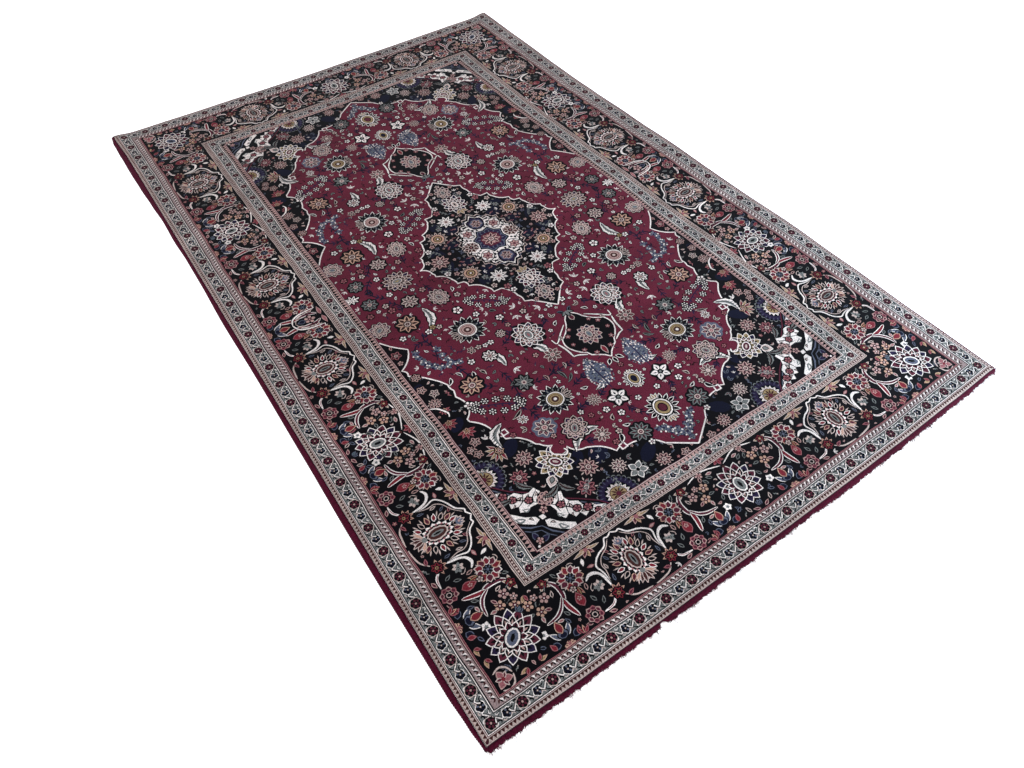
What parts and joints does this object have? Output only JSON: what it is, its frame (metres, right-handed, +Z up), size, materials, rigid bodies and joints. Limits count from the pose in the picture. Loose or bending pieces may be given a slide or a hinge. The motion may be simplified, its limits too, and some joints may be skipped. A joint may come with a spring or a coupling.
{
  "type": "rug",
  "caption": "Flat hand-knotted wool rug with a medallion field, borders, overcast sides and short frayed ends.",
  "frame": {"origin": "middle of the bounding box, on the floor under the rug", "axes": "+Y along the long side, +X across the short side, +Z up through the pile"},
  "size_m": [1.3872, 2.1384, 0.0097],
  "materials": {
    "pile": "matte wool pile",
    "edge_wool": "matte wrapped wool"
  },
  "bodies": {
    "root": {"rug_pile": "pile", "side_cord_left": "edge_wool", "side_cord_right": "edge_wool", "end_fringe_near": "edge_wool", "end_fringe_far": "edge_wool"}
  },
  "joints": []
}
